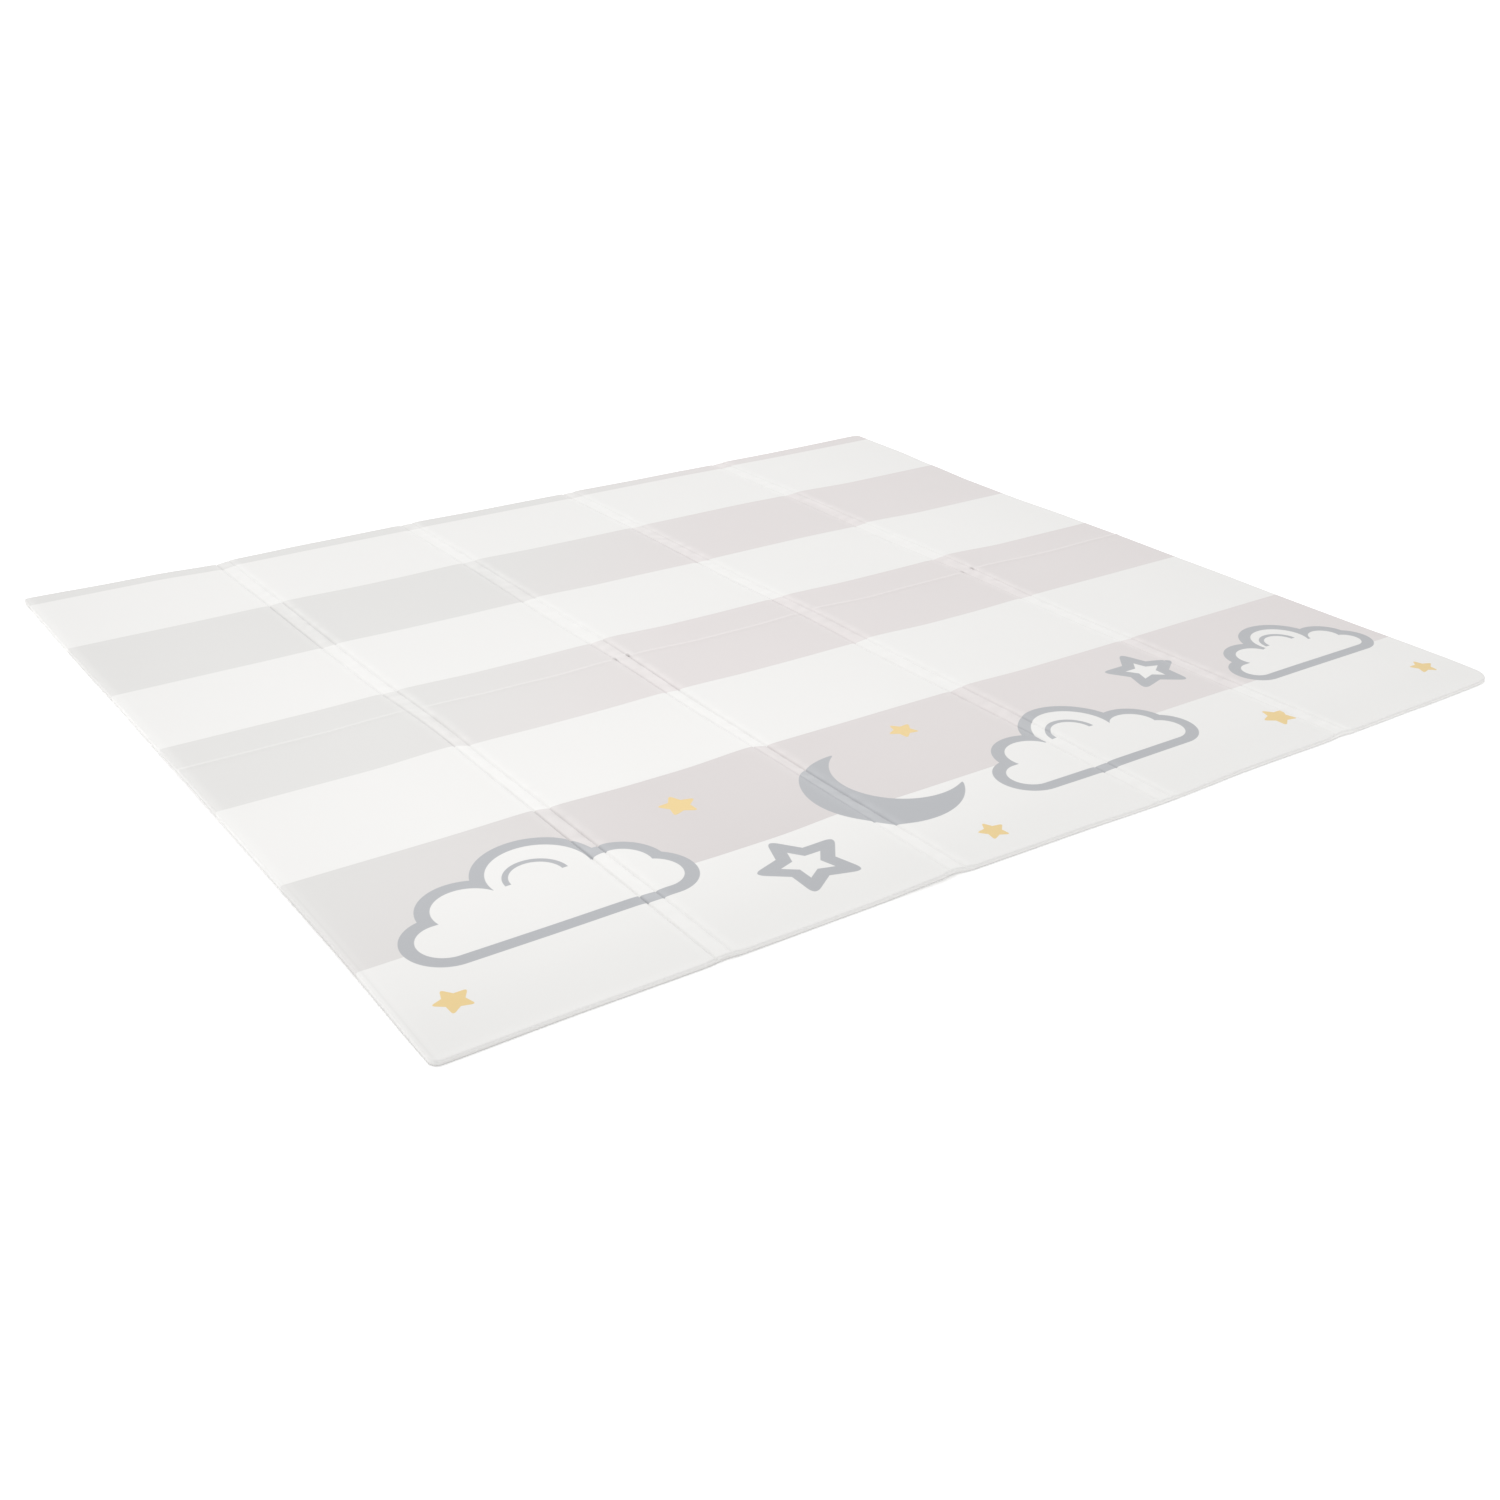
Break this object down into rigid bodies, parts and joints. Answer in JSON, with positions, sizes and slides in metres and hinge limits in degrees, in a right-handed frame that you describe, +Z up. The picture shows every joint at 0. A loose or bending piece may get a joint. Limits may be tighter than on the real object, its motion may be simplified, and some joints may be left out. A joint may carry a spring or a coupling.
{
  "type": "baby play mat",
  "caption": "Large flat fold-up foam play mat with pressed fold channels, a middle crease, rounded corners and a soft striped print.",
  "frame": {"origin": "on the floor, under the middle of the mat", "axes": "+X along the printed stripes, +Y from the front edge to the back edge, +Z up from the floor"},
  "size_m": [2.008, 1.8094, 0.0204],
  "materials": {
    "printed_film": "matt printed film over soft foam"
  },
  "bodies": {
    "root": {"mat": "printed_film"}
  },
  "joints": []
}
